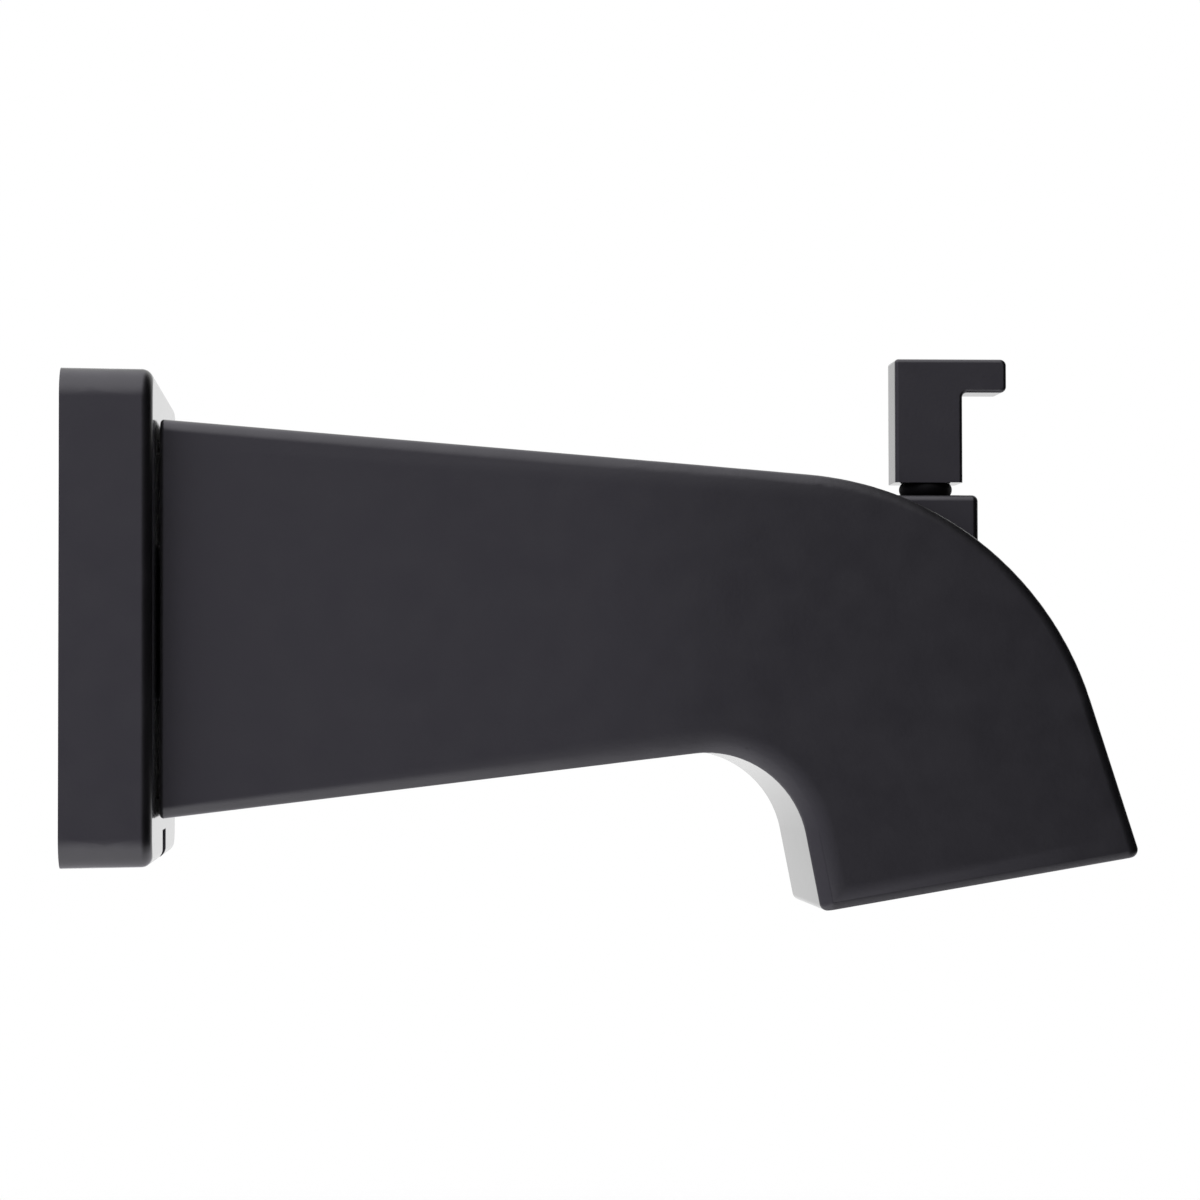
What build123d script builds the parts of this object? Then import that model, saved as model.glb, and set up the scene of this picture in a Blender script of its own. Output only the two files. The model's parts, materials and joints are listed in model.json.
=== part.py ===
from build123d import *
from math import cos, radians, sin, sqrt, tan
import os

# Bath spout with a square wall flange and a pull-up diverter in its nose.
# Millimetres. X runs out of the wall along the inlet axis, Y across the spout, Z up.
# The origin is on the inlet axis, in the plane of the wall.

# Wall flange
flange_size = 76.0              # square, at the wall
flange_depth = 14.0
flange_draft = 0.8              # degrees, each side
flange_corner_radius = 4.7
flange_edge_radius = 1.8
flange_wall = 2.5
key_slot_width = 10.0           # way in for the key that turns the set screw
key_slot_height = 5.0           # up the front from the bottom edge
key_room = 2.2                  # slot behind the set screw's axis

# Outside of the casting
spout_reach = 168.8             # wall to tip of nose
flange_gap = 0.3                # shadow line between flange and casting
rear_rise = 31.3                # axis up to the top edge at the flange
rear_drop = 30.9                # axis down to the bottom edge at the flange
tip_drop = 37.4                 # axis down to the tip
mouth_length = 51.9             # tip to heel
top_slope = 4.7                 # degrees from level, as the other slopes
underside_slope = 6.8
nose_slope = 72.2
heel_slope = 79.0
mouth_slope = 9.4
nose_radius = 51.5
arch_radius = 16.0
rear_width = 42.6
tip_width = 36.2
side_bend_setback = 73.8        # tip back to where the parallel sides turn in, seen from above
side_bend_radius = 500.0
long_edge_radius = 2.0
mouth_edge_radius = 1.3
rear_edge_radius = 0.6

# Inside of the casting
casting_wall = 3.0
web = 2.5                       # web that ties the waterway to top and underside
waterway_radius = 7.5
waterway_wall = 2.5
orifice_width = 14.0            # oblong port that the gate shuts
orifice_height = 9.0

# Inlet adapter, for copper tube of 15.9 mm
tube_bore_radius = 8.05
tube_depth = 42.0               # how far the tube goes in
tube_stop = 0.85                # shoulder that stops the tube
tube_stop_length = 2.5
hub_wall = 4.45
hub_reach = 3.7                 # hub past the rear end of the casting
spigot_wall = 3.0
spigot_gap = 0.05
tube_seal_section = 1.6
tube_seal_squeeze = 0.2         # how far a seal stands into the bore
spigot_seal_section = 1.5
retainer_section = 1.9
retainer_grip = 0.9             # how deep the retaining ring sits in the hub
retainer_split = 5.0            # gap in the ring, at the top
groove_play = 0.3               # extra groove width beside a ring
groove_floor_gap = 0.05
hub_gap = 0.3                   # flange hole round the hub
screw_radius = 2.0
screw_gap = 0.05
screw_recess = 0.6              # below the hub's surface
screw_socket = 2.0              # across flats
screw_socket_depth = 2.0
screw_tip_gap = 0.3             # from the tip to the bore
screw_chamfer = 0.5

# Diverter stem and knob
diverter_setback = 31.6         # tip of nose back to the stem
boss_size = 15.0
boss_rise = 4.0                 # above the nose at the stem
boss_edge_radius = 1.0
boss_lip = 1.0                  # top of the boss that holds the stem's seal down
stem_radius = 2.4
stem_gap = 0.06                 # running fit in the bushing
stem_lip_gap = 0.3
stem_neck_radius = 1.4
stem_neck_play = 0.2
stem_head = 1.6
stem_in_knob = 9.0
knob_hole_gap = 0.03
seal_section = 1.8
bushing_wall = 1.8
bushing_gap = 0.05
bushing_flange = 1.5
bushing_flange_width = 1.2
bumper_section = 1.9
bumper_bulge = 0.35             # of its outer side
bumper_gap = 0.25               # ring to boss with the knob down
bumper_knob_gap = 0.05
knob_width = 11.0
knob_depth = 8.5
knob_height = 20.0
knob_lip = 7.2                  # overhang that the finger lifts
knob_lip_thickness = 5.4
knob_edge_radius = 0.6
knob_lip_radius = 1.0
knob_inner_radius = 0.8

# Gate and its guides
gate_overlap = 1.5              # past the port, above and below
gate_drop = 1.5                 # below the port when open
gate_side = 4.0                 # past the port, each side
gate_plate = 2.4
gate_ledge = 2.0
gate_ledge_border = 2.2         # round the stem's head
gate_slot_gap = 0.15
gate_stem_gap = 0.3             # plate behind the stem's head
gate_corner_radius = 1.0
gate_stop_gap = 0.3             # under the bushing with the knob up
pad_thickness = 1.5
pad_gap = 0.2                   # pad to seat
pad_border = 1.3                # round the port
pad_button_radius = 1.3
pad_button_head = 1.2
pad_button_rim = 0.6
pad_button_gap = 0.05
guide_gap = 0.3
guide_lap = 1.8                 # lip in front of the gate
guide_lip = 2.0
guide_wall = 2.5
guide_foot = 1.0                # guide below the gate
guide_head = 1.0                # guide above the raised gate


def heading(angle):
    return Vector(cos(radians(angle)), sin(radians(angle)))


def meet(point_a, angle_a, point_b, angle_b):
    """Crossing of two lines, each given by a point and its heading in degrees."""
    a = heading(angle_a)
    b = heading(angle_b)
    apart = point_b - point_a
    run = (apart.X * b.Y - apart.Y * b.X) / (a.X * b.Y - a.Y * b.X)
    return point_a + a * run


# Places along the casting, in side view (X, Z)
rear_x = flange_depth + flange_gap
rear_top = Vector(rear_x, rear_rise)
rear_bottom = Vector(rear_x, -rear_drop)
tip = Vector(spout_reach, -tip_drop)
heel = tip + heading(180 + mouth_slope) * mouth_length
crown = meet(rear_top, -top_slope, tip, -nose_slope)
arch = meet(rear_bottom, underside_slope, heel, 180 - heel_slope)
nose_tangent = nose_radius * tan(radians((nose_slope - top_slope) / 2))
nose_start = crown + heading(180 - top_slope) * nose_tangent
nose_centre = nose_start + heading(-90 - top_slope) * nose_radius
arch_tangent = arch_radius * tan(radians((heel_slope + underside_slope) / 2))
arch_start = arch + heading(180 + underside_slope) * arch_tangent
arch_centre = arch_start + heading(underside_slope - 90) * arch_radius
side_bend_x = spout_reach - side_bend_setback

# Places along the stem
stem_x = spout_reach - diverter_setback
nose_top = nose_centre.Y + sqrt(nose_radius**2 - (stem_x - nose_centre.X)**2)
boss_top = nose_top + boss_rise
knob_bottom = boss_top + bumper_gap + bumper_section + bumper_knob_gap
knob_top = knob_bottom + knob_height
gate_height = orifice_height + 2 * gate_overlap
gate_top = -orifice_height / 2 - gate_drop
gate_bottom = gate_top - gate_height
lift = gate_height / 2 - gate_top
bushing_bottom = gate_top + lift + gate_stop_gap
boss_bottom = bushing_bottom + bushing_flange
seal_top = boss_top - boss_lip
bushing_top = seal_top - seal_section
bushing_radius = stem_radius + stem_gap + bushing_wall

# Places along the waterway
plate_front = stem_x - stem_radius - gate_stem_gap
plate_rear = plate_front - gate_plate
pad_rear = plate_rear - pad_thickness
seat_x = pad_rear - pad_gap
bulkhead_x = seat_x - casting_wall
floor_top = arch.Y + casting_wall / cos(radians(underside_slope))
floor_bottom = floor_top - casting_wall
guide_bottom = min(floor_bottom, gate_bottom - guide_foot)
guide_top = gate_top + lift + guide_head
gate_width = orifice_width + 2 * gate_side
guide_inner = gate_width / 2 + guide_gap
hub_length = rear_x + hub_reach
hub_radius = tube_bore_radius + hub_wall
spigot_radius = tube_bore_radius + spigot_wall
adapter_end = tube_depth + tube_stop_length
socket_radius = spigot_radius + spigot_gap
retainer_x = flange_depth - flange_wall - retainer_section / 2
retainer_groove = retainer_section + groove_play
screw_x = (retainer_x - retainer_groove / 2) / 2

# Ring seats on the adapter: two in the bore and one on the spigot, shared out along it
seal_pitch = (tube_depth - hub_length) / 4
outer_seal_x = hub_length + seal_pitch
inner_seal_x = outer_seal_x + seal_pitch
spigot_seal_x = inner_seal_x + seal_pitch
tube_seal_inner = tube_bore_radius - tube_seal_squeeze
spigot_seal_inner = socket_radius - spigot_seal_section
retainer_inner = hub_radius - retainer_grip

beyond = spout_reach + flange_size      # a length that reaches past every side


def vertex_near(face, point):
    return face.vertices().sort_by_distance(Vector(point.X, point.Y, 0))[0]


def side_outline(inset=0.0, mouth_inset=0.0, rear=rear_x):
    """Side view of the casting; the inset moves every side in, the mouth has its own."""
    sides = [
        (rear_top, -top_slope, inset),
        (tip, -nose_slope, inset),
        (tip, 180 + mouth_slope, mouth_inset),
        (heel, 180 - heel_slope, inset),
        (rear_bottom, 180 + underside_slope, inset),
        (Vector(rear, 0), 90, 0),
    ]
    moved = [(point + heading(angle - 90) * shift, angle) for point, angle, shift in sides]
    corners = [meet(*moved[i - 1], *moved[i]) for i in range(len(moved))]
    face = make_face(Polyline(*corners, close=True))
    face = fillet(vertex_near(face, corners[1]), nose_radius - inset)
    return fillet(vertex_near(face, corners[4]), arch_radius + inset)


def box_outline(low_x, low_z, high_x, high_z):
    size_x = high_x - low_x
    size_z = high_z - low_z
    return Pos(low_x + size_x / 2, low_z + size_z / 2) * Rectangle(size_x, size_z)


def across(face):
    """Side-view face drawn out past both sides of the spout."""
    return extrude(Plane.XZ * face, amount=beyond, both=True)


def between_sides(inset=0.0):
    """Room between the sides, seen from above: parallel along the neck, then tapering to the tip."""
    half = rear_width / 2 - inset
    taper = (rear_width - tip_width) / 2 / side_bend_setback
    end_half = tip_width / 2 - inset - taper * casting_wall
    end_x = spout_reach + casting_wall
    bends = [Vector(side_bend_x, half), Vector(side_bend_x, -half)]
    face = make_face(Polyline(
        (rear_x - beyond, half),
        bends[0],
        (end_x, end_half),
        (end_x, -end_half),
        bends[1],
        (rear_x - beyond, -half),
        close=True,
    ))
    for bend in bends:
        face = fillet(vertex_near(face, bend), side_bend_radius - inset)
    return extrude(face, amount=beyond, both=True)


def casting_skin():
    """Solid outer form: side view and plan crossed, then its edges rounded."""
    skin = across(side_outline()) & between_sides()
    rear = skin.faces().sort_by(Axis.X)[0]
    mouth = skin.faces().sort_by(Axis.Z)[0]
    sides = skin.faces().filter_by(lambda face: abs(face.center().Y) > tip_width / 4)
    long_edges = sides.edges() - rear.edges() - mouth.edges()
    skin = fillet(long_edges.filter_by(Axis.Z, reverse=True), long_edge_radius)
    skin = fillet(skin.faces().sort_by(Axis.Z)[0].edges(), mouth_edge_radius)
    return fillet(skin.faces().sort_by(Axis.X)[0].edges(), rear_edge_radius)


def boss():
    block = Pos(stem_x, 0, boss_bottom) * Box(
        boss_size, boss_size, boss_top - boss_bottom, align=(Align.CENTER, Align.CENTER, Align.MIN)
    )
    top = block.faces().sort_by(Axis.Z)[-1]
    return fillet(block.edges().filter_by(Axis.Z) + top.edges(), boss_edge_radius)


def turned(points):
    """Solid of revolution about the inlet axis from (x, radius) points."""
    return revolve(make_face(Plane.XZ * Polyline(*points, close=True)), Axis.X)


def on_stem(radius, low_z, high_z):
    """Plain round about the stem's axis."""
    align = (Align.CENTER, Align.CENTER, Align.MIN)
    return Pos(stem_x, 0, low_z) * Cylinder(radius, high_z - low_z, align=align)


def waterway():
    """Outside of the cast tube: socket for the adapter, then the narrower run to the seat."""
    socket_outer = socket_radius + waterway_wall
    tube_outer = waterway_radius + waterway_wall
    socket_end = adapter_end + waterway_wall
    cone_end = socket_end + socket_outer - tube_outer
    return turned([
        (hub_length, 0),
        (hub_length, socket_outer),
        (socket_end, socket_outer),
        (cone_end, tube_outer),
        (bulkhead_x + casting_wall / 2, tube_outer),
        (bulkhead_x + casting_wall / 2, 0),
    ])


def rear_hollow():
    """Cored space round the waterway, open to the wall, halved by the web."""
    inside = side_outline(casting_wall, casting_wall, rear_x - casting_wall)
    past_arch = box_outline(bulkhead_x, -beyond, beyond, beyond)
    under_floor = box_outline(arch.X, -beyond, beyond, floor_top)
    hollow = across(inside - past_arch - under_floor) & between_sides(casting_wall)
    web_length = bulkhead_x - hub_length
    web_slab = Pos(hub_length + web_length / 2, 0, 0) * Box(web_length, web, beyond)
    return hollow - web_slab - waterway()


def gate_guides():
    """Two cast channels that the gate's edges run in."""
    lip_x = plate_front + guide_gap
    corners = [
        (seat_x - casting_wall / 2, guide_inner),
        (lip_x, guide_inner),
        (lip_x, gate_width / 2 - guide_lap),
        (lip_x + guide_lip, gate_width / 2 - guide_lap),
        (lip_x + guide_lip, guide_inner + guide_wall),
        (seat_x - casting_wall / 2, guide_inner + guide_wall),
    ]
    section = make_face(Polyline(*corners, close=True))
    guide = extrude(Pos(0, 0, guide_bottom) * section, amount=guide_top - guide_bottom)
    return guide + mirror(guide, Plane.XZ)


def nose_hollow():
    """Cored space in the nose, open at the mouth, less the guides and the foot of the boss."""
    inside = side_outline(casting_wall, -casting_wall)
    behind_arch = box_outline(-beyond, -beyond, arch_centre.X, beyond)
    over_floor = box_outline(-beyond, floor_bottom, seat_x, beyond)
    bulkhead = box_outline(bulkhead_x, guide_bottom, seat_x, beyond)
    hollow = across(inside - behind_arch - over_floor - bulkhead) & between_sides(casting_wall)
    return hollow - gate_guides() - boss()


def stem_bore():
    """Stepped bore in the boss for bushing, seal and stem, open at both ends."""
    lower = on_stem(bushing_radius + bushing_gap, boss_bottom, seal_top)
    return lower + on_stem(stem_radius + stem_lip_gap, seal_top, boss_top)


def waterway_bore():
    """Socket, round bore and the oblong port in the seat."""
    bore = turned([
        (hub_length, 0),
        (hub_length, socket_radius),
        (adapter_end, socket_radius),
        (adapter_end, waterway_radius),
        (bulkhead_x, waterway_radius),
        (bulkhead_x, 0),
    ])
    port = Plane.YZ.offset(bulkhead_x) * SlotOverall(orifice_width, orifice_height)
    return bore + extrude(port, amount=casting_wall)


def spout_body():
    casting = casting_skin() + boss()
    return casting - rear_hollow() - nose_hollow() - waterway_bore() - stem_bore()


def drafted_block(size, corner_radius, depth):
    """Square block that narrows away from the wall."""
    square = Plane.YZ * RectangleRounded(size, size, corner_radius)
    return extrude(square, amount=depth, taper=flange_draft)


def wall_flange():
    cover = drafted_block(flange_size, flange_corner_radius, flange_depth)
    cover = fillet(cover.faces().sort_by(Axis.X)[-1].edges(), flange_edge_radius)
    cover -= drafted_block(
        flange_size - 2 * flange_wall, flange_corner_radius - flange_wall, flange_depth - flange_wall
    )
    cover -= turned([(0, 0), (0, hub_radius + hub_gap), (beyond, hub_radius + hub_gap), (beyond, 0)])
    slot_rear = screw_x - key_room
    slot_length = flange_depth - slot_rear
    slot = Pos(slot_rear + slot_length / 2, 0, -flange_size / 2) * Box(
        slot_length, key_slot_width, 2 * key_slot_height
    )
    return cover - slot


def ring(x, width, inner_radius, outer_radius):
    """Ring of oblong section about the inlet axis, for the square-cut seals and their grooves."""
    return turned([
        (x - width / 2, inner_radius),
        (x - width / 2, outer_radius),
        (x + width / 2, outer_radius),
        (x + width / 2, inner_radius),
    ])


def inlet_adapter():
    sleeve = turned([
        (0, tube_bore_radius),
        (0, hub_radius),
        (hub_length, hub_radius),
        (hub_length, spigot_radius),
        (adapter_end, spigot_radius),
        (adapter_end, tube_bore_radius - tube_stop),
        (tube_depth, tube_bore_radius - tube_stop),
        (tube_depth, tube_bore_radius),
    ])
    seal_floor = tube_seal_inner + tube_seal_section + groove_floor_gap
    for x in (outer_seal_x, inner_seal_x):
        sleeve -= ring(x, tube_seal_section + groove_play, tube_bore_radius / 2, seal_floor)
    spigot_groove = spigot_seal_section + groove_play
    sleeve -= ring(spigot_seal_x, spigot_groove, spigot_seal_inner - groove_floor_gap, hub_radius)
    sleeve -= ring(retainer_x, retainer_groove, retainer_inner - groove_floor_gap, 2 * hub_radius)
    screw_hole = Pos(screw_x, 0, 0) * Cylinder(
        screw_radius + screw_gap, 2 * hub_radius, align=(Align.CENTER, Align.CENTER, Align.MAX)
    )
    return sleeve - screw_hole


def set_screw():
    """Cup-nosed grub screw with a hexagon socket, head down."""
    low_z = -hub_radius + screw_recess
    high_z = -tube_bore_radius - screw_tip_gap
    shank = Pos(screw_x, 0, low_z) * Cylinder(
        screw_radius, high_z - low_z, align=(Align.CENTER, Align.CENTER, Align.MIN)
    )
    shank = chamfer(shank.edges().sort_by(Axis.Z)[-1], screw_chamfer)
    flats = Pos(screw_x, 0, low_z) * RegularPolygon(screw_socket / 2, 6, major_radius=False)
    return shank - extrude(flats, amount=screw_socket_depth)


def tube_seal(x):
    return ring(x, tube_seal_section, tube_seal_inner, tube_seal_inner + tube_seal_section)


def adapter_seal():
    return ring(spigot_seal_x, spigot_seal_section, spigot_seal_inner, socket_radius)


def flange_retaining_ring():
    """Split ring sprung into the hub's groove behind the flange."""
    whole = ring(retainer_x, retainer_section, retainer_inner, retainer_inner + retainer_section)
    gap = Pos(retainer_x, 0, hub_radius) * Box(2 * retainer_section, retainer_split, 2 * retainer_section)
    return whole - gap


def rod_bushing():
    sleeve = on_stem(bushing_radius, bushing_bottom, bushing_top)
    flange = on_stem(bushing_radius + bushing_flange_width, bushing_bottom, boss_bottom)
    return sleeve + flange - on_stem(stem_radius + stem_gap, bushing_bottom, bushing_top)


def rod_seal():
    return on_stem(bushing_radius, bushing_top, seal_top) - on_stem(
        stem_radius + stem_gap, bushing_top, seal_top
    )


def knob_bumper():
    """Rubber ring with a bulging outer side, carried on the stem under the knob."""
    low_z = boss_top + bumper_gap
    high_z = low_z + bumper_section
    outer = stem_radius + bumper_section
    shoulder = outer - bumper_bulge
    section = Polyline((shoulder, high_z), (stem_radius, high_z), (stem_radius, low_z), (shoulder, low_z))
    bulge = ThreePointArc((shoulder, low_z), (outer, (low_z + high_z) / 2), (shoulder, high_z))
    face = make_face(Plane.XZ * (section + bulge))
    return Pos(stem_x, 0, 0) * revolve(face, Axis.Z)


def lift_rod():
    """Stem with a necked head at its foot, which the gate hangs on."""
    neck_top = gate_top + stem_neck_play
    neck_bottom = gate_top - gate_ledge
    head_bottom = neck_bottom - stem_head
    stem_top = knob_bottom + stem_in_knob
    profile = Polyline(
        (0, head_bottom),
        (stem_radius, head_bottom),
        (stem_radius, neck_bottom),
        (stem_neck_radius, neck_bottom),
        (stem_neck_radius, neck_top),
        (stem_radius, neck_top),
        (stem_radius, stem_top),
        (0, stem_top),
        close=True,
    )
    return Pos(stem_x, 0, 0) * revolve(make_face(Plane.XZ * profile), Axis.Z)


def lift_knob():
    """Hooked square knob: an upright block with a lip over the spout's tip."""
    left = stem_x - knob_width / 2
    right = stem_x + knob_width / 2
    lip_end = right + knob_lip
    lip_bottom = knob_top - knob_lip_thickness
    inner = Vector(right, lip_bottom)
    lip_corners = [Vector(lip_end, lip_bottom), Vector(lip_end, knob_top)]
    face = make_face(Polyline(
        (left, knob_bottom),
        (right, knob_bottom),
        inner,
        *lip_corners,
        (left, knob_top),
        close=True,
    ))
    for corner in lip_corners:
        face = fillet(vertex_near(face, corner), knob_lip_radius)
    face = fillet(vertex_near(face, inner), knob_inner_radius)
    knob = extrude(Plane.XZ * face, amount=knob_depth / 2, both=True)
    bottom = knob.faces().sort_by(Axis.Z)[0]
    knob = fillet(knob.edges() - bottom.edges(), knob_edge_radius)
    return knob - on_stem(stem_radius + knob_hole_gap, knob_bottom, knob_bottom + stem_in_knob)


def diverter_gate():
    """Plate that slides in the guides, with a slotted ledge that hangs on the stem's head."""
    plate = Pos((plate_rear + plate_front) / 2, 0, (gate_bottom + gate_top) / 2) * Box(
        gate_plate, gate_width, gate_height
    )
    plate = fillet(plate.edges().filter_by(Axis.X), gate_corner_radius)
    ledge_front = stem_x + stem_radius + gate_ledge_border
    ledge_width = 2 * (stem_radius + gate_ledge_border)
    ledge = Pos((plate_rear + ledge_front) / 2, 0, gate_top - gate_ledge / 2) * Box(
        ledge_front - plate_rear, ledge_width, gate_ledge
    )
    ledge = fillet(ledge.edges().filter_by(Axis.Z).sort_by(Axis.X)[-2:], gate_corner_radius)
    slot_radius = stem_neck_radius + gate_slot_gap
    slot_end = Pos(stem_x, 0, gate_top - gate_ledge / 2) * Cylinder(slot_radius, gate_ledge)
    slot_run = Pos((stem_x + ledge_front) / 2, 0, gate_top - gate_ledge / 2) * Box(
        ledge_front - stem_x, 2 * slot_radius, gate_ledge
    )
    button_hole = Pos((plate_rear + plate_front) / 2, 0, (gate_bottom + gate_top) / 2) * Rot(0, 90, 0)
    hole_radius = pad_button_radius + pad_button_gap
    return plate + ledge - slot_end - slot_run - button_hole * Cylinder(hole_radius, gate_plate)


def gate_seal():
    """Rubber pad on the gate's rear face, held by a button through the plate."""
    middle = (gate_bottom + gate_top) / 2
    outline = SlotOverall(orifice_width + 2 * pad_border, orifice_height + 2 * pad_border)
    pad = extrude(Plane.YZ.offset(pad_rear) * Pos(0, middle) * outline, amount=pad_thickness)
    neck = Plane.YZ.offset(plate_rear) * Pos(0, middle) * Circle(pad_button_radius)
    head = Plane.YZ.offset(plate_front) * Pos(0, middle) * Circle(pad_button_radius + pad_button_rim)
    return pad + extrude(neck, amount=gate_plate) + extrude(head, amount=pad_button_head)


pieces = {
    "spout_body": spout_body(),
    "wall_flange": wall_flange(),
    "flange_retaining_ring": flange_retaining_ring(),
    "inlet_adapter": inlet_adapter(),
    "inlet_seal_outer": tube_seal(outer_seal_x),
    "inlet_seal_inner": tube_seal(inner_seal_x),
    "adapter_seal": adapter_seal(),
    "set_screw": set_screw(),
    "rod_bushing": rod_bushing(),
    "rod_seal": rod_seal(),
    "lift_rod": lift_rod(),
    "lift_knob": lift_knob(),
    "knob_bumper": knob_bumper(),
    "diverter_gate": diverter_gate(),
    "gate_seal": gate_seal(),
}

os.makedirs("parts", exist_ok=True)
for name, piece in pieces.items():
    export_step(piece, f"parts/{name}.step")
print(f"lift {lift:.2f} mm, stem at x {stem_x:.2f}, boss top {boss_top:.2f}, knob top {knob_top:.2f}")
print(f"seat x {seat_x:.2f}, floor {floor_bottom:.2f}, guide bottom {guide_bottom:.2f}")
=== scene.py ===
# %% [markdown]
# # A bath spout in satin black
# The imported model holds the spout's real shape: a hollow casting, a square wall flange, a lift knob
# and the small pieces inside. Here it gets its finishes, a camera and a plain studio.
# Loading comes first.

# %% Load the imported model
import json
import math

import bmesh
import bpy
from mathutils import Matrix, Vector
from mathutils.bvhtree import BVHTree

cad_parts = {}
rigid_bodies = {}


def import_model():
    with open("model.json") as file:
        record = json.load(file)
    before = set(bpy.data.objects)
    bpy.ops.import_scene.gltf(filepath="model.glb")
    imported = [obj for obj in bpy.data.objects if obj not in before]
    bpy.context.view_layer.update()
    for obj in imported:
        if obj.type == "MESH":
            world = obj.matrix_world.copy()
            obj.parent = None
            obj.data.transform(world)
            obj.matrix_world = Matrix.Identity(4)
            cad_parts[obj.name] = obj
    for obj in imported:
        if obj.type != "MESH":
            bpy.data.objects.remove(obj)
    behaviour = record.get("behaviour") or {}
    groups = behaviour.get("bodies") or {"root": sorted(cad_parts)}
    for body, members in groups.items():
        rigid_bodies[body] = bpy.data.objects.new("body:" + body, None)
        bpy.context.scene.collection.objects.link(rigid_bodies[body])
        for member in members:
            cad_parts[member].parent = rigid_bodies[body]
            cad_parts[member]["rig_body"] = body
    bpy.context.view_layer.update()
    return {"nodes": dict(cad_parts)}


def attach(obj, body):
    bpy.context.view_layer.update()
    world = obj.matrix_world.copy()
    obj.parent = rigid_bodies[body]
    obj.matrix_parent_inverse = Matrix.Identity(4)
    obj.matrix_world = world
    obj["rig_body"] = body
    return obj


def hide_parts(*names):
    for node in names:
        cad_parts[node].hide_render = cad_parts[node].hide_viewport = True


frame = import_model()

# %% [markdown]
# ## The camera
# The photograph looks at the spout's side almost square on, from a little below its middle. A long
# lens keeps the upright edges nearly parallel. The camera could be aimed with a constraint, but
# three plain turns say exactly how it stands: turned to the right, tipped up, and rolled a touch.

# %% Camera
scene = bpy.context.scene
camera_place = (0.04449, -0.613, -0.0153)
turn_right, tip_up, roll = math.radians(3.695), math.radians(1.774), math.radians(0.115)
lens = bpy.data.cameras.new("camera")
lens.sensor_width = 36.0
lens.lens = 113.97
lens.clip_start = 0.01
camera = bpy.data.objects.new("camera", lens)
scene.collection.objects.link(camera)
camera.matrix_world = (
    Matrix.Translation(camera_place)
    @ Matrix.Rotation(-turn_right, 4, "Z")
    @ Matrix.Rotation(math.pi / 2 + tip_up, 4, "X")
    @ Matrix.Rotation(-roll, 4, "Z")
)
scene.camera = camera
scene.view_settings.view_transform = "Standard"
print("lens", round(lens.lens, 2), "mm, camera at", camera_place)

# %% [markdown]
# ## Helpers for node trees
# The light and every finish below are small trees of shader nodes. They could be written out link by
# link, but then each tree fills a page. One helper adds a node and sets its inputs by name, another
# joins an output to an input, and three more make the ramps and mixes that come back again and again.

# %% Node helpers
def add(tree, kind, settings=None, **values):
    made = tree.nodes.new(kind)
    for name, value in (settings or {}).items():
        setattr(made, name, value)
    for name, value in values.items():
        made.inputs[name.replace("_", " ")].default_value = value
    return made


def join(tree, source, output, target, socket):
    tree.links.new(source.outputs[output], target.inputs[socket])


def smooth_step(tree, source, output, low, high):
    """Smooth ramp from 0 at low to 1 at high."""
    ramp = add(tree, "ShaderNodeMapRange", {"interpolation_type": "SMOOTHSTEP"})
    ramp.inputs["From Min"].default_value = low
    ramp.inputs["From Max"].default_value = high
    join(tree, source, output, ramp, "Value")
    return ramp


def fade(tree, factor, output, start, end):
    """Colour that goes from start to end as the factor goes from 0 to 1; each is a colour or a mix."""
    mixed = add(tree, "ShaderNodeMix", {"data_type": "RGBA"})
    join(tree, factor, output, mixed, 0)
    for socket, value in ((6, start), (7, end)):
        if isinstance(value, tuple):
            mixed.inputs[socket].default_value = (*value, 1)
        else:
            tree.links.new(value.outputs[2], mixed.inputs[socket])
    return mixed


def larger(tree, first, second):
    made = add(tree, "ShaderNodeMath", {"operation": "MAXIMUM"})
    tree.links.new(first, made.inputs[0])
    tree.links.new(second, made.inputs[1])
    return made


print("helpers", [helper.__name__ for helper in (add, join, smooth_step, fade, larger)])

# %% [markdown]
# ## Studio light
# Satin black shows little colour of its own: what the eye reads is the room mirrored in it. The
# photograph has a white background, a wide soft light overhead, a pale table below, a dim room in
# front and a dark side on the right. Lamps could stand for these, but each would leave its own spot
# in the paint, so the world paints the room by direction instead.

# %% Room by direction
dark, soft_light, white = (0.01, 0.01, 0.01), (1.22, 1.19, 1.30), (1.0, 1.0, 1.0)
dim_front = (0.285, 0.265, 0.35)
front_ends, overhead_ends, full_height = (-0.02, 0.36), (0.15, 0.45), 0.75
world = bpy.data.worlds.new("studio")
scene.world = world
world.use_nodes = True
room = world.node_tree
room.nodes.clear()
direction = add(room, "ShaderNodeTexCoord")
axes = add(room, "ShaderNodeSeparateXYZ")
join(room, direction, "Generated", axes, "Vector")
front = fade(room, smooth_step(room, axes, "X", *front_ends), "Result", dim_front, dark)
above = fade(room, smooth_step(room, axes, "X", *overhead_ends), "Result", soft_light, dark)
upper = fade(room, smooth_step(room, axes, "Z", 0.0, full_height), "Result", front, above)
lower = fade(room, smooth_step(room, axes, "Z", 0.0, -full_height), "Result", upper, above)
print("room nodes", len(room.nodes))

# %% [markdown]
# ## White background
# The photograph's background is plain white. A bright wall would do it, but it would also light the
# spout. So camera rays see plain white, and mirrored rays see white only behind the spout, where the
# real background stands. Light that falls on the spout still comes from the room.

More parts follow.
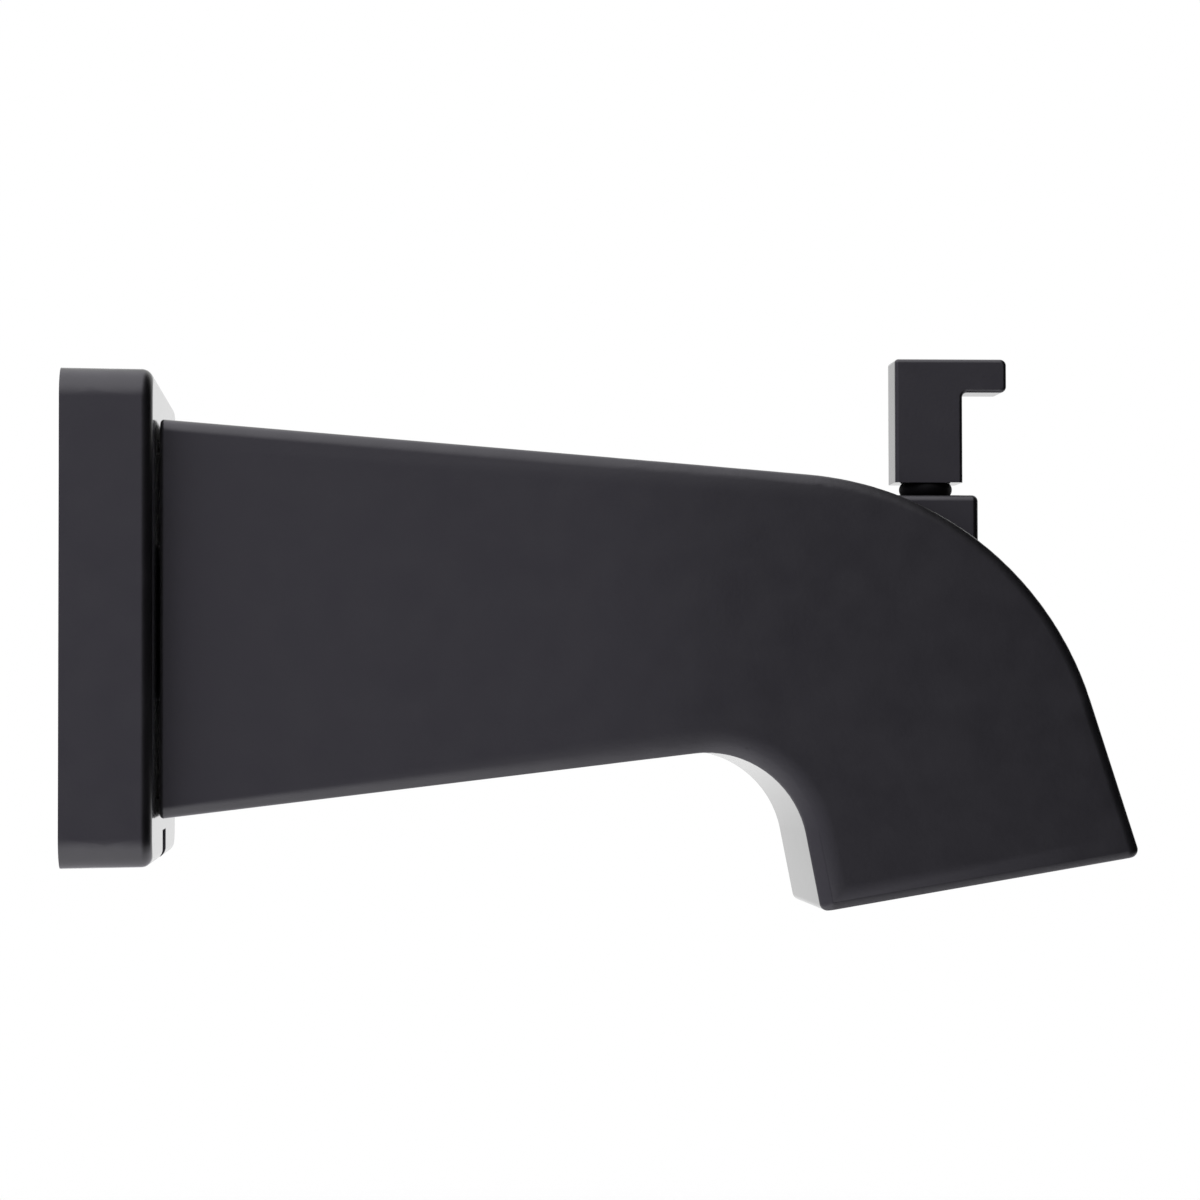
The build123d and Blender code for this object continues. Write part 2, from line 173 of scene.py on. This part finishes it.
# %% Background
back_ends = (0.30, 0.80)
rays = add(room, "ShaderNodeLightPath")
mirrored = larger(room, rays.outputs["Is Glossy Ray"], rays.outputs["Is Transmission Ray"])
to_back = add(room, "ShaderNodeMath", {"operation": "MULTIPLY"})
join(room, mirrored, "Value", to_back, 0)
join(room, smooth_step(room, axes, "Y", *back_ends), "Result", to_back, 1)
backdrop = larger(room, rays.outputs["Is Camera Ray"], to_back.outputs["Value"])
seen = fade(room, backdrop, "Value", lower, white)
background = add(room, "ShaderNodeBackground", Strength=1.0)
room.links.new(seen.outputs[2], background.inputs["Color"])
world_out = add(room, "ShaderNodeOutputWorld")
join(room, background, "Background", world_out, "Surface")
print("world nodes", len(room.nodes))

# %% [markdown]
# ## The floor
# The floor is a pale sheet well under the spout. It throws light up at the lower edges and takes a
# soft shadow. One flat square is enough for that.

# %% Floor sheet
floor_drop, floor_reach, floor_centre = 0.25, 0.9, (0.08, 0.45)
corners = [
    (floor_centre[0] + along * floor_reach, floor_centre[1] + across * floor_reach, -floor_drop)
    for along, across in ((-1, -1), (1, -1), (1, 1), (-1, 1))
]
sheet = bpy.data.meshes.new("floor")
sheet.from_pydata(corners, [], [(0, 1, 2, 3)])
floor = bpy.data.objects.new("floor", sheet)
scene.collection.objects.link(floor)
print("floor", floor_drop, "m below the inlet axis")

# %% [markdown]
# ## Finish of the floor
# The sheet is matt and pale. In a bright room it could simply be lit, but here it would look grey
# beside the white background. So it has a faint glow, which only the camera and mirrors see.

# %% Floor finish
floor_pale, floor_glow = (0.88, 0.88, 0.88, 1), 0.25
floor_finish = bpy.data.materials.new("pale_floor")
floor_finish.use_nodes = True
tree = floor_finish.node_tree
tree.nodes.clear()
pale = add(tree, "ShaderNodeBsdfDiffuse", Color=floor_pale)
glow = add(tree, "ShaderNodeEmission", Color=(1, 1, 1, 1))
rays = add(tree, "ShaderNodeLightPath")
mirrored = larger(tree, rays.outputs["Is Glossy Ray"], rays.outputs["Is Transmission Ray"])
in_view = larger(tree, rays.outputs["Is Camera Ray"], mirrored.outputs["Value"])
lift = add(tree, "ShaderNodeMapRange", To_Max=floor_glow)
join(tree, in_view, "Value", lift, "Value")
join(tree, lift, "Result", glow, "Strength")
lit = add(tree, "ShaderNodeAddShader")
tree.links.new(pale.outputs["BSDF"], lit.inputs[0])
tree.links.new(glow.outputs["Emission"], lit.inputs[1])
print("floor glow", floor_glow)

# %% [markdown]
# ## Rim of the floor
# The sheet's rim would show as a line against the white. A very large sheet would hide it, but it
# would also turn the lower part of the picture grey. So the sheet fades out towards its rim, and
# from below it lets the view through.

# %% Fade of the floor
fade_start = 0.4 * floor_reach
place = add(tree, "ShaderNodeTexCoord")
apart = add(tree, "ShaderNodeVectorMath", {"operation": "DISTANCE"})
join(tree, place, "Object", apart, 0)
apart.inputs[1].default_value = (*floor_centre, -floor_drop)
faded = smooth_step(tree, apart, "Value", fade_start, floor_reach)
facing = add(tree, "ShaderNodeNewGeometry")
see_through = larger(tree, faded.outputs["Result"], facing.outputs["Backfacing"])
clear = add(tree, "ShaderNodeBsdfTransparent")
fading = add(tree, "ShaderNodeMixShader")
join(tree, see_through, "Value", fading, "Fac")
tree.links.new(lit.outputs["Shader"], fading.inputs[1])
tree.links.new(clear.outputs["BSDF"], fading.inputs[2])
floor_out = add(tree, "ShaderNodeOutputMaterial")
join(tree, fading, "Shader", floor_out, "Surface")
sheet.materials.append(floor_finish)
print("floor fades from", round(fade_start, 2), "to", floor_reach, "m")

# %% [markdown]
# ## Helpers for finishes
# No real surface has one flat colour. Each finish here wanders between two close shades, is duller
# in one place than in another, and has a fine relief. Painted pictures could give all three, but
# noise needs no file, and it runs through the piece in its own coordinates, without seams.

# %% Finish helpers
def start_material(name, **values):
    made = bpy.data.materials.new(name)
    made.use_nodes = True
    made.node_tree.nodes.clear()
    shader = add(made.node_tree, "ShaderNodeBsdfPrincipled", **values)
    out = add(made.node_tree, "ShaderNodeOutputMaterial")
    join(made.node_tree, shader, "BSDF", out, "Surface")
    place = add(made.node_tree, "ShaderNodeTexCoord")
    return made, made.node_tree, shader, place


def noise(tree, place, scale, detail=3.0):
    made = add(tree, "ShaderNodeTexNoise", Scale=scale, Detail=detail)
    join(tree, place, "Object", made, "Vector")
    return made


def between(tree, source, low, high):
    """Stretches a noise, which stays mostly between 0.3 and 0.7, over the range low to high."""
    made = add(tree, "ShaderNodeMapRange", From_Min=0.3, From_Max=0.7, To_Min=low, To_Max=high)
    join(tree, source, "Fac", made, "Value")
    return made


def mottle(tree, place, shader, scale, first, second):
    """Base colour that wanders between two close shades."""
    shade = between(tree, noise(tree, place, scale), 0.0, 1.0)
    colour = fade(tree, shade, "Result", first, second)
    tree.links.new(colour.outputs[2], shader.inputs["Base Color"])
    return colour


def relief(tree, source, shader, strength, height=0.0001):
    made = add(tree, "ShaderNodeBump", Strength=strength, Distance=height)
    join(tree, source, "Fac", made, "Height")
    join(tree, made, "Normal", shader, "Normal")


print("finish helpers", [helper.__name__ for helper in (start_material, noise, between, mottle, relief)])

# %% [markdown]
# ## Satin black paint
# The casting, the flange and the knob are sprayed with the same satin black. A spray coat is never
# quite even: it is a little lighter here and duller there, and close up it has the fine waves called
# orange peel. Seen along the surface a satin coat turns glossy. One roughness for all angles would
# miss that, so the roughness drops where the surface is seen at a slant.

# %% Black paint
satin, slanted_gloss, slant_ends = (0.33, 0.39), 0.10, (0.70, 0.95)
black_paint, tree, shader, place = start_material("black_paint", IOR=1.9)
mottle(tree, place, shader, 60.0, (0.0013, 0.0012, 0.0017), (0.0019, 0.0017, 0.0024))
dullness = between(tree, noise(tree, place, 180.0), *satin)
slant = add(tree, "ShaderNodeLayerWeight", Blend=0.5)
gloss = add(tree, "ShaderNodeMix")
join(tree, smooth_step(tree, slant, "Facing", *slant_ends), "Result", gloss, 0)
join(tree, dullness, "Result", gloss, 2)
gloss.inputs[3].default_value = slanted_gloss
orange_peel = noise(tree, place, 1400.0, 2.0)
relief(tree, orange_peel, shader, 0.12)
print("paint nodes", len(tree.nodes))

# %% [markdown]
# ## Rough paint inside
# Inside, a casting stays as it left the mould, under a thin mist of paint. A second material could
# be put on those faces, but it is still the same coat. So the paint reads a mark called inside,
# which is laid on the faces further down, and turns rough where it finds the mark.

# %% Rough inside
as_cast = (0.62, 0.82)
inside = add(tree, "ShaderNodeAttribute", {"attribute_name": "inside"})
grain = between(tree, noise(tree, place, 900.0), *as_cast)
coat = add(tree, "ShaderNodeMix")
join(tree, inside, "Fac", coat, 0)
join(tree, gloss, 0, coat, 2)
join(tree, grain, "Result", coat, 3)
join(tree, coat, 0, shader, "Roughness")
print("roughness outside", satin, "inside", as_cast)

# %% [markdown]
# ## Rubber
# The ring under the knob and the seals are moulded rubber: dull, nearly black, with a fine grain.
# A low index keeps its shine faint, as on soft rubber.

# %% Rubber finish
rubber, tree, shader, place = start_material("rubber", IOR=1.25)
mottle(tree, place, shader, 300.0, (0.001, 0.001, 0.001), (0.002, 0.002, 0.002))
join(tree, between(tree, noise(tree, place, 500.0), 0.6, 0.75), "Result", shader, "Roughness")
relief(tree, noise(tree, place, 2500.0), shader, 0.15)
print("rubber nodes", len(tree.nodes))

# %% [markdown]
# ## Turned brass and steel
# The adapter and the rod are turned on a lathe, which leaves fine rings round their axis. Rings could
# be cut as real grooves, but they are far finer than a hair. A noise that is squeezed along the axis
# and stretched across it gives them instead, in the gloss and in the relief.

# %% Turned metals
ring_scale, drawn_out = 3000.0, 12.0


def turned_metal(name, axis, first, second, low, high):
    made, tree, shader, place = start_material(name, Metallic=1.0)
    colour = mottle(tree, place, shader, 120.0, first, second)
    scales = [ring_scale if letter == axis else drawn_out for letter in "XYZ"]
    stretch = add(tree, "ShaderNodeMapping", Scale=scales)
    join(tree, place, "Object", stretch, "Vector")
    rings = add(tree, "ShaderNodeTexNoise", Scale=1.0, Detail=2.0)
    join(tree, stretch, "Vector", rings, "Vector")
    join(tree, between(tree, rings, low, high), "Result", shader, "Roughness")
    relief(tree, rings, shader, 0.2)
    return made, tree, shader, place, colour


steel = turned_metal("steel", "Z", (0.53, 0.53, 0.54), (0.62, 0.62, 0.63), 0.20, 0.36)[0]
brass, tree, shader, place, colour = turned_metal(
    "brass", "X", (0.66, 0.46, 0.20), (0.74, 0.55, 0.27), 0.22, 0.38
)
print("turned metals", steel.name, brass.name)

# %% [markdown]
# ## Painted shade on the adapter
# Where the adapter goes into the casting its brass is painted near black, as painted shade for the
# narrow gap behind the neck. Without it a line of yellow shows in that gap. The painted shade sets
# in along the adapter's axis, so a ramp on that coordinate is all it takes.

# %% Painted shade in the gap
gap_shade_ends, gap_shade_black = (0.0120, 0.0138), (0.006, 0.005, 0.005)
spot = add(tree, "ShaderNodeSeparateXYZ")
join(tree, place, "Object", spot, "Vector")
gap_shade = smooth_step(tree, spot, "X", *gap_shade_ends)
# Painted shade: the brass goes near black where it sits in the dark gap behind the neck.
shaded_brass = fade(tree, gap_shade, "Result", colour, gap_shade_black)
tree.links.new(shaded_brass.outputs[2], shader.inputs["Base Color"])
print("mist sets in from", gap_shade_ends[0], "to", gap_shade_ends[1], "m")

# %% [markdown]
# ## Moulded plastic
# The bushing and the gate are moulded in pale plastic. They show only from below or with the knob
# raised. A soft grain and a middling gloss set them off from the metal round them.

# %% Plastic finish
plastic, tree, shader, place = start_material("moulded_plastic", IOR=1.48)
mottle(tree, place, shader, 90.0, (0.66, 0.65, 0.60), (0.72, 0.71, 0.67))
join(tree, between(tree, noise(tree, place, 400.0), 0.38, 0.5), "Result", shader, "Roughness")
relief(tree, noise(tree, place, 1800.0), shader, 0.1)
print("plastic nodes", len(tree.nodes))

# %% [markdown]
# ## Rolled edges
# The casting is ground and polished before it is painted, so its large sides roll in slowly and then
# end in a crisp edge. A plain round edge mirrors the room differently: its pale band is narrow and
# even. Moving points would change the form, so only the normals lean. How far they lean differs round
# the side: most under the neck, hardly at all on the front of the nose.

# %% Roll round the side
arch_along, arch_top, mouth_start = (0.075, 0.130), -0.015, 0.110
faces_down, front_start, front_blend = -0.8, 0.05, 0.4
arch_roll, mouth_roll = (9, 0.19, 2.5), (4, 0.50, 1.4)
neck_roll, front_roll = (6, 0.55, 1.4), (1, 0.65, 1.4)


def roll_of(point, out):
    """How a side rolls in: lean at its rim in degrees, gain over the round edge, haste at the end."""
    if point.z < arch_top and arch_along[0] < point.x < arch_along[1]:
        return arch_roll
    if point.x > mouth_start and out.z < faces_down:
        return mouth_roll
    to_front = min(1.0, max(0.0, (out.x - front_start) / front_blend))
    return tuple(neck + (front - neck) * to_front for neck, front in zip(neck_roll, front_roll))


print("lean at the rim: arch", arch_roll[0], "mouth", mouth_roll[0])
print("lean at the rim: neck", neck_roll[0], "front", front_roll[0])

# %% [markdown]
# ## Rims that lean
# To bend the light over a width, the side needs a row of points inside its rim. Insetting the side
# once lays that row. The points on the rim then lean outwards, and the new row stays flat. The sides
# are found by their normals: they stand upright, face outwards and taper only a little.

# %% Rims of the sides
roll_width, past_core, past_flange = 0.0024, 0.012, 0.016
faces_out, upright, taper = 0.9, 0.006, (-0.002, 0.045)


def roll_rim(points):
    """Insets the spout's two sides and returns the leaning normals of the points on their rims."""
    leaning = {}
    for way in (-1, 1):
        side = [
            face for face in points.faces
            if way * face.normal.y > faces_out and way * face.calc_center_median().y > past_core
            and abs(face.normal.z) < upright and taper[0] < face.normal.x < taper[1]
        ]
        inset = bmesh.ops.inset_region(points, faces=side, thickness=roll_width, use_even_offset=True)
        inner = {point for face in side for point in face.verts}
        for face in inset["faces"]:
            face.normal_update()
            for edge in face.edges:
                start, end = sorted(edge.verts, key=lambda point: point in inner)
                out = (start.co - end.co).normalized()
                if start not in inner and end in inner and start.co.x > past_flange:
                    lean = math.radians(roll_of(start.co, out)[0])
                    leaning[start] = face.normal * math.cos(lean) + out * math.sin(lean)
    points.verts.index_update()
    print("rim points that lean", len(leaning))
    return {point.index: normal for point, normal in leaning.items()}


print("roll", 1000 * roll_width, "mm wide")

# %% [markdown]
# ## Crisp ends
# Beyond the rim comes the rounded edge itself. Its normals lean back towards the side, so that the
# roll goes on across most of the edge, and turn over quickly at its end. That reads as a crisp edge.

# %% Normals of the rounded edge
flat_turn = 5


def crisper(normal, point):
    """Normal of a rounded edge of the spout's sides, leaned back towards the side."""
    turn = math.degrees(math.acos(min(1.0, abs(normal.y))))
    outer = point.y * normal.y > 0 and abs(point.y) >= past_core
    if turn < flat_turn or not outer or point.x < past_flange:
        return normal
    out = Vector((normal.x, 0, normal.z)).normalized()
    rim, gain, haste = roll_of(point, out)
    lean = math.radians(max(rim + gain * turn, 90 - haste * (90 - turn)))
    return out * math.sin(lean) + Vector((0, math.copysign(math.cos(lean), normal.y), 0))


print("edge normals change past", flat_turn, "degrees")

# %% [markdown]
# ## The mark for the inside
# Which faces of the casting lie inside could be picked by hand, but a rule lasts longer. A face
# belongs to the inside when a ray that leaves it square on meets the casting again. The rear end,
# which the flange covers, is left rough too. The mark is kept on the faces as an attribute.

# %% Mark the inside
ray_start, ray_length = 2e-5, 0.06
rear_depth, faces_rear = 0.0007, -0.1


def mark_inside(points):
    mark = points.faces.layers.float.new("inside")
    casting = BVHTree.FromBMesh(points)
    rear_end = min(point.co.x for point in points.verts) + rear_depth
    found = 0
    for face in points.faces:
        centre = face.calc_center_median()
        met = casting.ray_cast(centre + face.normal * ray_start, face.normal, ray_length)[0]
        if met is not None or (centre.x < rear_end and face.normal.x < faces_rear):
            face[mark] = 1.0
            found += 1
    print("faces inside", found, "of", len(points.faces))


print("a ray may go", ray_length, "m")

# %% [markdown]
# ## Smooth copies of the pieces
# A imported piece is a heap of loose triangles, and loose triangles shade as facets. Each piece gets a
# copy with its points merged. Edges that turn sharply stay sharp, the rest is shaded smooth, and a
# Weighted Normal modifier makes the large faces rule, so flat sides stay flat up to their rounded
# edges. Its result is turned into a plain mesh, because later steps need one without modifiers.

# %% Smooth mesh
merge_reach, sharp_turn, face_weight = 2e-6, math.radians(32), 80


def smooth_mesh(points, name, material):
    for face in points.faces:
        face.smooth = True
    for edge in points.edges:
        edge.smooth = edge.calc_face_angle(math.pi) < sharp_turn
    mesh = bpy.data.meshes.new(name)
    points.to_mesh(mesh)
    points.free()
    mesh.materials.append(material)
    draft = bpy.data.objects.new(name + "_draft", mesh)
    scene.collection.objects.link(draft)
    weighted = draft.modifiers.new("weighted", "WEIGHTED_NORMAL")
    weighted.keep_sharp = True
    weighted.weight = face_weight
    depsgraph = bpy.context.evaluated_depsgraph_get()
    solid = bpy.data.meshes.new_from_object(draft.evaluated_get(depsgraph))
    solid.name = name
    bpy.data.objects.remove(draft)
    return solid


print("edges stay sharp from", round(math.degrees(sharp_turn)), "degrees")

# %% [markdown]
# ## One finished piece
# The finished copy stands for the imported piece: it rides on the same body, keeps the form and the
# place, and takes its finish as its one material. Only the casting gets the rolled edges and the mark.

# %% Finished copy
def finished_copy(node, name, material):
    source = frame["nodes"][node]
    points = bmesh.new()
    points.from_mesh(source.data)
    bmesh.ops.remove_doubles(points, verts=points.verts, dist=merge_reach)
    bmesh.ops.recalc_face_normals(points, faces=points.faces)
    leaning = {}
    if node == "spout_body":
        leaning = roll_rim(points)
        mark_inside(points)
    solid = smooth_mesh(points, name, material)
    normals = [corner.vector.copy() for corner in solid.corner_normals]
    at = [loop.vertex_index for loop in solid.loops]
    if node == "spout_body":
        normals = [crisper(normal, solid.vertices[index].co) for normal, index in zip(normals, at)]
    solid.normals_split_custom_set([leaning.get(index, normal) for normal, index in zip(normals, at)])
    piece = bpy.data.objects.new(name, solid)
    scene.collection.objects.link(piece)
    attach(piece, source["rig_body"])
    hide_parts(node)
    return piece


print("packed pieces to dress", len(frame["nodes"]))

# %% [markdown]
# ## Dressing the spout
# Now every piece gets its finish: paint on what is seen, steel, brass and plastic on what works
# inside, rubber on the seals. A table of finishes and pieces keeps this to one loop.

# %% All pieces
finishes = {
    "black_paint": (black_paint, ["spout_body", "wall_flange", "lift_knob"]),
    "steel": (steel, ["flange_retaining_ring", "set_screw", "lift_rod"]),
    "brass": (brass, ["inlet_adapter"]),
    "rubber": (rubber, [
        "inlet_seal_outer", "inlet_seal_inner", "adapter_seal", "rod_seal", "knob_bumper", "gate_seal",
    ]),
    "moulded_plastic": (plastic, ["rod_bushing", "diverter_gate"]),
}
for slot, (material, nodes) in finishes.items():
    for node in nodes:
        piece = finished_copy(node, node + "_finished", material)
        print(piece.name, len(piece.data.polygons), "faces")
